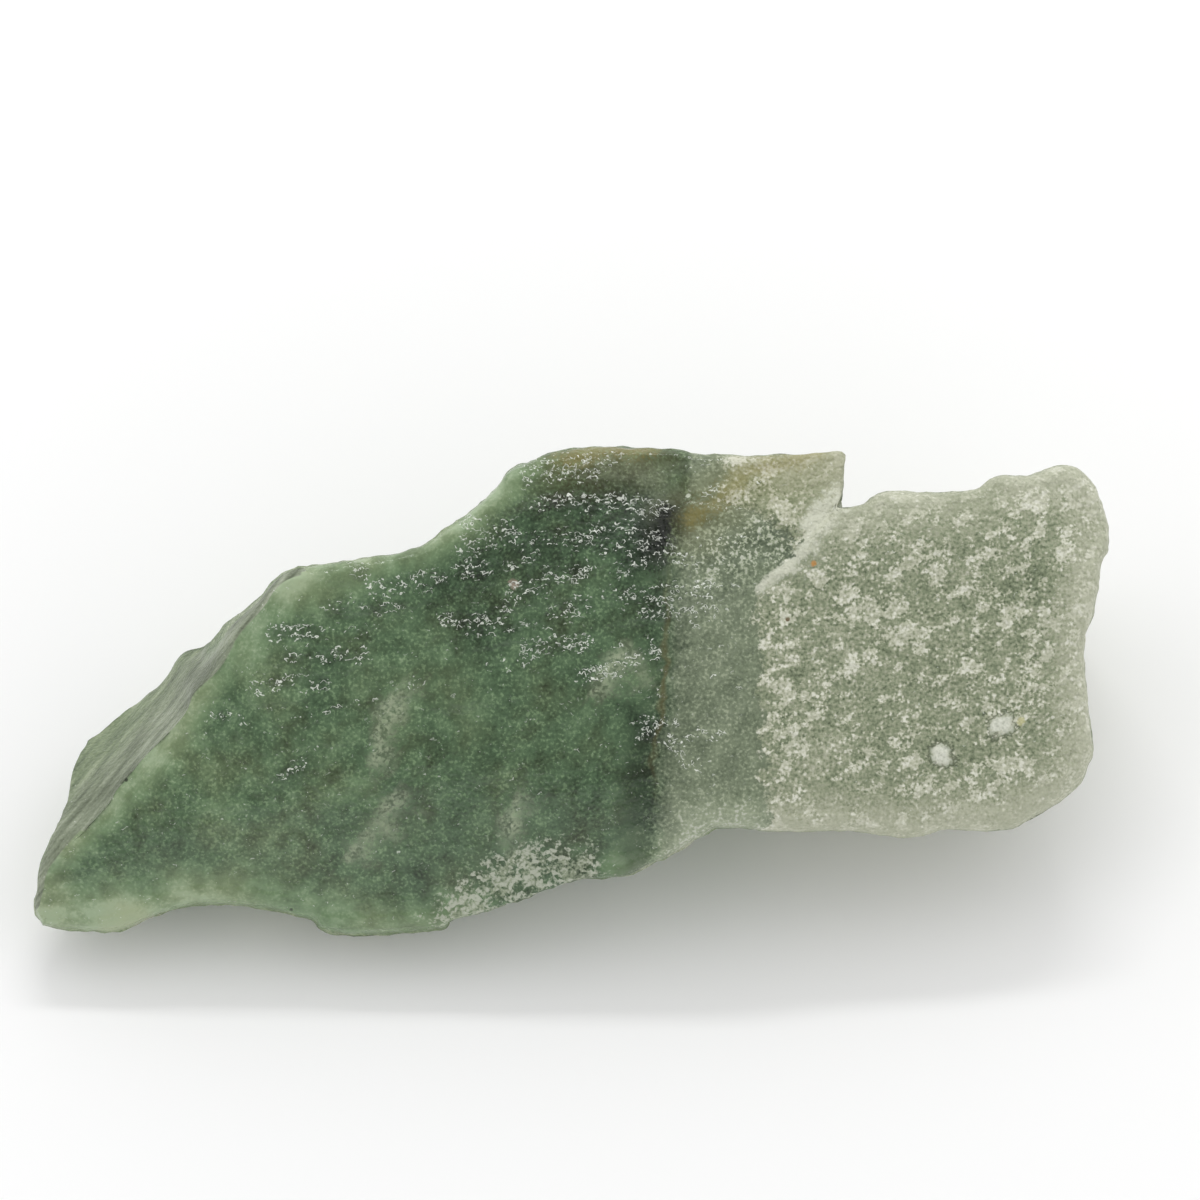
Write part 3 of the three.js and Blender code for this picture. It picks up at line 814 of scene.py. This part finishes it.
def pattern_place(place, size, turn=0, shift=0):
    """A place in cells of the given size: one number, or (along, across, deep), with the length
    turned anticlockwise by an angle in degrees, and the cells shifted by so many millimetres every
    way, which gives patterns of one size different clouds."""
    return place.node("Mapping", {"vector_type": "TEXTURE"}, {
        "Vector": place,
        "Location": (shift,) * 3,
        "Rotation": (0, 0, math.radians(turn)),
        "Scale": size if isinstance(size, tuple) else (size, size, size),
    })


def cloud(place, size, turn=0, shift=0):
    """Noise round 0, about -0.3 to 0.3, with features of a size in millimetres."""
    inputs = {"Vector": pattern_place(place, size, turn, shift), "Scale": 1, "Detail": 1}
    return place.node("TexNoise", {}, inputs) - 0.5


def bending(place, size, reach):
    """A vector that wanders up to about a reach every way, with features of a size in millimetres."""
    inputs = {"Vector": pattern_place(place, size), "Scale": 1, "Detail": 0}
    vector = place.node("TexNoise", {}, inputs, output="Color")
    centred = place.node("VectorMath", {"operation": "SUBTRACT"}, {0: vector, 1: (0.5, 0.5, 0.5)})
    return place.node("VectorMath", {"operation": "SCALE"}, {0: centred, "Scale": reach * 3})


def crystal_cells(place, size, bend=(0, 0, 0)):
    """The crystals that fill the stone, of a size in millimetres (one number, or three) and bent by a
    vector: the distance from the middle of the crystal here and the height above it, both in crystal
    sizes, and the crystal's own random colour, as its red with green and blue beside it."""
    cells = place.node("VectorMath", {"operation": "ADD"}, {0: pattern_place(place, size), 1: bend})
    distance = cells.node("TexVoronoi", {}, {"Vector": cells, "Scale": 1})
    middle = distance.sibling("Position")
    offset = cells.node("VectorMath", {"operation": "SUBTRACT"}, {0: cells, 1: middle})
    height = cells.node("SeparateXYZ", {}, {0: offset}, output="Y")
    return distance, height, cells.node("SeparateColor", {}, {"Color": distance.sibling("Color")})


# ---- finishes ----

# Palettes: lightness levels and their display colours, 0 to 255.
JADE = [
    (0, (22, 31, 22)), (0.25, (54, 72, 52)), (0.5, (83, 106, 78)),
    (0.75, (114, 138, 103)), (1, (154, 172, 140)),
]
OLIVE = [
    (0, (26, 32, 20)), (0.25, (60, 71, 49)), (0.5, (89, 105, 76)),
    (0.75, (120, 136, 101)), (1, (160, 172, 138)),
]
SAGE = [(0, (56, 68, 52)), (0.5, (122, 133, 109)), (0.8, (156, 165, 140)), (1, (186, 190, 174))]
SUGAR = [
    (0, (86, 97, 73)), (0.3, (128, 138, 110)), (0.5, (155, 160, 135)),
    (0.75, (187, 189, 168)), (1, (216, 217, 202)),
]
# Grey of the side facet: weathered, and partly painted sheen of a face seen at a grazing angle.
CHALK_AND_SHEEN = [(0, (88, 97, 76)), (0.5, (127, 136, 114)), (1, (166, 172, 153))]

# Single display colours.
MILK = (166, 175, 148)
OCHRE = (148, 138, 82)
SEAM_BLACK = (14, 18, 13)
RUST = (98, 86, 52)
TAB_TINT = (140, 138, 88)
# White of the bruised step, with painted light on its riser.
BRUISED_AND_LIT = (206, 208, 190)
CRACK = (70, 78, 58)
# Painted shadow line under each painted glint, and the painted glint itself, a highlight where a wet grain
# catches the light.
GRAIN_SHADOW = (24, 34, 24)
PAINTED_GLINT = (230, 234, 224)


def tones(level, palette):
    """The colour of a palette at a lightness level."""
    return level.tones([(position, colour(*display)) for position, display in palette])


def jade_colour(marks, fine, flecks):
    """Dark glassy green: jade and olive clouds with a few flecks, painted lighter and more olive where it
    is thin, as if light came through."""
    # Darker along the rows of painted glints.
    rows = marks["glints"].ramp(-0.6, 0.4)
    light = marks["clouds"] * 0.08 + marks["mottle"] * 0.15 + marks["glow"] - rows * 0.07
    clear = 1 - marks["glow"].ramp(0, 0.3) * 0.6
    level = 0.43 + light + (fine * 0.48 + flecks * 0.13) * clear
    green = marks["hue"] * 0.5 + marks["mottle"] * 0.3 - marks["glow"] * 0.55 + 0.75
    return green.ramp(0, 1).mix(tones(level, OLIVE), tones(level, JADE))


def band_colour(marks, fine, flecks, crystal):
    """Grey-green glassy quartz right of the seam, darker beside it and netted with pale flecks in the
    wedge under the tab."""
    beside = (1 - marks["seam"].ramp(0, 4)) * (1 - marks["block"])
    net = ((crystal + fine * 2.5).ramp(0, 0.35) * 0.45 - 0.1) * marks["wedge"]
    light = marks["mottle"] * 0.12 + marks["clouds"] * 0.06 + marks["glow"] - beside * 0.16 + net
    return tones(0.44 + light + fine * 0.6 + flecks * 0.16, SAGE)


def sugar_colour(marks, fine, distance, crystal):
    """Dry broken quartz: light grains and dark gaps, white bruised clumps, and smooth pale edges."""
    edge = (marks["rim"] + marks["mottle"] * 2).ramp(0, 6)
    inner = edge.larger(1 - marks["past"].ramp(-9, -6))
    broken = marks["clumps"] + marks["mottle"] * 0.5 + marks["clouds"] * 0.2
    clump = (broken + crystal * 0.3 + fine * 1.3).ramp(0.12, 0.48)
    grain = (crystal + fine + marks["mottle"] * 0.5).ramp(0.08, 0.3) * (1 - distance.ramp(0.15, 0.55))
    gaps = (crystal * 0.25 - fine).ramp(0.08, 0.24)
    mosaic = clump * 0.3 + grain * 0.36 - gaps * 0.12 + crystal * 0.12 + fine * 0.9 + marks["mottle"] * 0.1
    level = 0.6 - inner * 0.21 + mosaic * inner.blend(0.3, 1)
    return tones(level + marks["glow"], SUGAR)


def chalk_and_sheen_colour(place, marks, fine):
    """The grey side facet, weathered and partly painted sheen of its grazing face, drawn out in fine
    streaks along the ridge, with a painted highlight on the ridge's line, and greener far from it.
    """
    streaks = cloud(place, STREAK, turn=STREAK_TURN)
    far = (marks["mottle"] * 0.6 - marks["ridge"]).ramp(1.5, 5)
    # A painted highlight along the ridge's line.
    edge = marks["ridge"].bell(-0.15, 0.4)
    level = 0.33 + edge * 0.2 + streaks * far.blend(1.6, 0.7) + marks["clouds"] * 0.08 + fine * 0.4
    return (far * 0.7).mix(tones(level, CHALK_AND_SHEEN), tones(level + 0.42, OLIVE))


def wall_colour(marks, dry, fine, crystal):
    """The broken walls and underside: dull green with chalky patches, all pale at the pale end."""
    # Part of the painted light and shade of the face carries onto the walls, lighter along the thin edges.
    light = marks["mottle"] * 0.15 + marks["clouds"] * 0.15 + marks["glow"] * 0.35
    dull = tones(0.6 + light + fine * 0.8, OLIVE)
    pale = tones(0.5 + marks["mottle"] * 0.1 + fine * 0.8 + crystal * 0.2, SUGAR)
    chalky = dry * 0.8 + marks["clouds"] * 0.6 + marks["clumps"] * 0.4 + fine * 1.5
    return chalky.ramp(0.1, 0.6).mix(dull, pale)


def seam_mask(marks, v, fine):
    """The dark mineral seam: a soft left side, a ragged right one, black at its top, dark low down."""
    ragged = marks["seam"] + fine * 2.5
    beside = ragged.ramp(-4.8, -1) * (1 - ragged.ramp(-0.8, 1))
    black = (v.bell(16.5, 7.5) * 1.8 + marks["mottle"] * 0.4 + fine * 1.5 - 0.7).ramp(0, 1)
    return beside * black.larger((1 - v.ramp(-7, 6)) * 0.55).larger(0.12)


def painted_glint_mask(marks, fine, cells):
    """Painted glints on the wet grains, each the upper arc of a ring round its grain's middle, where the
    grain catches the light: how bright each painted highlight is, with faint pale dots beyond the rows, and
    how dark the painted shadow line inside each one is."""
    distance, height, random = cells
    green, blue = random.sibling("Green"), random.sibling("Blue")
    outside = distance + fine * 0.25 - random.blend(0.18, 0.5)
    upper = height.ramp(-0.1, 0.08) * (marks["glints"] + green * 0.9 - 0.3).ramp(0, 0.15)
    rims = outside.bell(0, 0.15) * upper * blue.blend(0.55, 1)
    dots = (1 - distance.ramp(0.03, 0.22)) * (green - 0.4).ramp(0, 0.1) * blue * 0.6
    return rims.larger(dots), outside.bell(-0.17, 0.14) * upper


def spotted(place, tone, marks, fine):
    """A colour with the small mineral spots laid over it, and a dark crack round each lump."""
    flat = place.node("VectorMath", {"operation": "MULTIPLY"}, {0: place, 1: (1, 1, 0)})
    for u0, v0, radius, display in SPOTS:
        away = flat.node("VectorMath", {"operation": "DISTANCE"}, {0: flat, 1: (u0, v0, 0)}, output="Value")
        away = away + (fine * 1.2 + marks["mottle"] * 0.6) * radius
        if radius > LUMP_RADIUS:
            tone = (away.bell(radius * 1.15, 0.25) * 0.65).mix(tone, colour(*CRACK))
        spot = (1 - away.ramp(radius * 0.6, radius * 1.1)) * (1 - marks["wall"])
        tone = (spot * (fine + 0.85)).mix(tone, colour(*display))
    return tone


def face_place(start, shift):
    """The place on the chunk in its face frame, in millimetres."""
    origin = Matrix.Rotation(-TILT, 3, "X") @ (Vector(shift) / MM + Vector((0, 0, FACE_HEIGHT)))
    return start.node("Mapping", {}, {
        "Vector": start.node("TexCoord", output="Object"), "Location": -origin,
        "Rotation": (-TILT, 0, 0), "Scale": (1 / MM,) * 3,
    })


def haze_mask(marks, fine, crystal):
    """The milky patches: soft at their borders and broken up by the grain."""
    inside = 1 - (marks["haze"] + marks["mottle"] * 1.5 + fine * 4).ramp(-0.5, 3)
    return inside * (crystal * 0.5 + fine * 2 + marks["mottle"] * 0.4 + 0.5).ramp(0, 1).blend(0.15, 0.8)


def bruise_and_lit_riser_mask(marks, v, fine, crystal):
    """The white step, bruised and painted lighter as light on its riser: its own line, and past the step or
    high on the face only.
    """
    near = 1 - (marks["bruise"] + fine * 3 + crystal * 0.4).ramp(0.5, 1.8)
    return near * (marks["past"] + fine + v.ramp(15.5, 18.5) * 3.2).ramp(-0.5, 0)


def glossy_tone(marks, v, fine, flecks, crystal, stain, black):
    """The glassy face: jade and band, then the milky patches, the stains, the seam and its rust line."""
    banded = (marks["seam"] + fine * 2).ramp(-1, 2).larger(marks["smoke"] * 0.8).larger(marks["block"])
    tone = banded.mix(jade_colour(marks, fine, flecks), band_colour(marks, fine, flecks, crystal))
    tone = haze_mask(marks, fine, crystal).mix(tone, colour(*MILK))
    tone = stain.mix(tone, colour(*OCHRE))
    tone = (black * 0.97).mix(tone, colour(*SEAM_BLACK))
    line = marks["seam"].bell(0.1, 0.5) * v.bell(2, 15)
    return (line * 0.5).mix(tone, colour(*RUST))


def with_painted_glints(tone, marks, fine, wet, black):
    """A colour with the painted glints of the wet grains laid over it, each a painted highlight with a
    painted shadow line under it.
    """
    glint_highlight, under = painted_glint_mask(marks, fine, wet)
    tone = (under * (1 - marks["wall"]) * 0.45).mix(tone, colour(*GRAIN_SHADOW))
    return (glint_highlight * (1 - marks["wall"]) * (1 - black * 0.3)).mix(tone, colour(*PAINTED_GLINT))


def aventurine(shift):
    """The whole stone: dark green glassy face, black seam, grey band, stained tab and sugary end."""
    material, start = new_material("aventurine")
    place = face_place(start, shift)
    v = place.node("SeparateXYZ", {}, {0: place}, output="Y")
    marks = {name: start.node("Attribute", {"attribute_name": name}, output="Fac") for name in MARKS}
    fine = cloud(place, FINE_GRAIN, shift=50)
    wet = crystal_cells(place, WET_GRAIN, bending(place, *WET_BEND))
    distance, _, random = crystal_cells(place, SUGAR_GRAIN)
    crystal = random - 0.5
    flecks = (fine + crystal * 0.25 - distance * 0.1).ramp(0.03, 0.16)

    dry_end = (marks["past"] + fine + crystal * 0.8).ramp(-0.4, 0.4)
    dry = dry_end.larger((marks["tab"] + fine * 2 + crystal).ramp(-0.4, 0.6))
    frost = (0.9 - marks["frost"] * 0.42 + crystal * 1.2 + fine * 2.5).ramp(-0.3, 0.9)
    stain = (1 - (marks["stain"] + fine * 2).ramp(0, 1.7)) * 0.4 + (1 - marks["stain"].ramp(1, 6)) * 0.15
    black = seam_mask(marks, v, fine)

    tone = glossy_tone(marks, v, fine, flecks, crystal, stain, black)
    frosted = tones(0.79 + fine * 1.2 + crystal * 0.5 + marks["mottle"] * 0.2, SAGE)
    tone = (frost * 0.85).mix(tone, frosted)
    tone = dry.mix(tone, sugar_colour(marks, fine, distance, crystal))
    tone = (marks["tab"].ramp(-1, 2) * (1 - dry_end) * 0.12).mix(tone, colour(*TAB_TINT))
    tone = (stain * dry * 0.9).mix(tone, colour(*OCHRE))
    # The white step: bruising and painted light on its riser.
    tone = (bruise_and_lit_riser_mask(marks, v, fine, crystal) * 0.85).mix(tone, colour(*BRUISED_AND_LIT))
    tone = marks["wall"].ramp(0.5, 1).mix(tone, wall_colour(marks, dry, fine, crystal))
    # The side facet: weathered grey, partly painted sheen.
    tone = marks["side"].ramp(0.2, 0.7).mix(tone, chalk_and_sheen_colour(place, marks, fine))
    tone = spotted(place, tone, marks, fine)
    # Painted glints: highlights on the wet grains, each with a painted shadow line.
    tone = with_painted_glints(tone, marks, fine, wet, black)

    dull = dry.larger(frost).larger(marks["wall"]).larger(marks["side"])
    rough = dull.larger(marks["glints"].ramp(-0.5, 0.5) * 0.6).blend(0.12, 0.35)
    pores = cloud(place, PORES, shift=60) * rough
    finish_material(start, {
        "Base Color": tone,
        "Roughness": dull.blend(0.12, 0.5),
        "Specular IOR Level": 0.35,
        "Normal": start.node("Bump", {}, {"Height": pores, "Distance": MM}),
    })
    return material


# ---- stage, in metres and watts ----

FLOOR_HALF = 3  # half the side of the square
FLOOR_TONE = (0.94, 0.94, 0.94, 1)
CAMERA_DISTANCE = 1.2
CAMERA_TARGET = (3, 10, 0)  # in the face frame, millimetres
LENS = 360  # millimetres, as the sensor's width is
SENSOR = 36
LIGHT_TARGET = (0, 0, 0.015)
STRIP_PLACE = (0, 0.6, 0.75)
STRIP_SIZE = (0.5, 0.08)
STRIP_POWER = 2
SURROUND_STRENGTH = 1.13
SURROUND_WHITE = (1, 1, 1, 1)
SURROUND_DIM = (0.3, 0.3, 0.3, 1)


def make_floor():
    """A plain pale floor, a square centred under the chunk."""
    half = FLOOR_HALF
    corners = [(-half, -half, 0), (half, -half, 0), (half, half, 0), (-half, half, 0)]
    mesh = bpy.data.meshes.new("floor")
    mesh.from_pydata(corners, [], [(0, 1, 2, 3)])
    floor = bpy.data.objects.new("floor", mesh)
    bpy.context.collection.objects.link(floor)
    material, start = new_material("floor")
    finish_material(start, {"Base Color": FLOOR_TONE, "Roughness": 0.9})
    mesh.materials.append(material)


def aim(thing, place, target):
    """Puts a camera or light at a place, looking along its own -Z at the target."""
    thing.location = place
    thing.rotation_euler = (Vector(target) - Vector(place)).to_track_quat("-Z", "Y").to_euler()


def make_camera(shift):
    """A long lens that looks straight onto the broad face."""
    target = Vector(to_frame([CAMERA_TARGET])[0] + shift)
    data = bpy.data.cameras.new("camera")
    data.lens = LENS
    data.sensor_width = SENSOR
    camera = bpy.data.objects.new("camera", data)
    bpy.context.collection.objects.link(camera)
    aim(camera, target + Vector(FACE_ON) * CAMERA_DISTANCE, target)
    bpy.context.scene.camera = camera


def make_light(name, place, width, height, power):
    """A rectangular soft light aimed at the chunk."""
    data = bpy.data.lights.new(name, "AREA")
    data.shape = "RECTANGLE"
    data.size = width
    data.size_y = height
    data.energy = power
    light = bpy.data.objects.new(name, data)
    bpy.context.collection.objects.link(light)
    aim(light, place, LIGHT_TARGET)


def make_surround():
    """An even white surround, dimmer round the way that the broad face looks."""
    world = bpy.data.worlds.new("surround")
    world.use_nodes = True
    world.node_tree.nodes.clear()
    start = Socket(world.node_tree)
    towards = start.node("TexCoord", output="Generated")
    inputs = {0: towards, 1: FACE_ON}
    face_on = towards.node("VectorMath", {"operation": "DOT_PRODUCT"}, inputs, output="Value")
    shade = face_on.ramp(0.7, 0.98).mix(SURROUND_WHITE, SURROUND_DIM)
    light = start.node("Background", {}, {"Color": shade, "Strength": SURROUND_STRENGTH})
    start.node("OutputWorld", {}, {"Surface": light})
    bpy.context.scene.world = world


def make_lights():
    """The surround, and a narrow strip high behind that the grains glint in."""
    make_surround()
    make_light("strip", STRIP_PLACE, *STRIP_SIZE, STRIP_POWER)
    bpy.context.scene.view_settings.view_transform = "Standard"


chunk, plan_shift = make_chunk()
chunk.data.materials.append(aventurine(plan_shift))
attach(chunk, "root")
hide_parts(NODE)
make_floor()
make_camera(plan_shift)
make_lights()
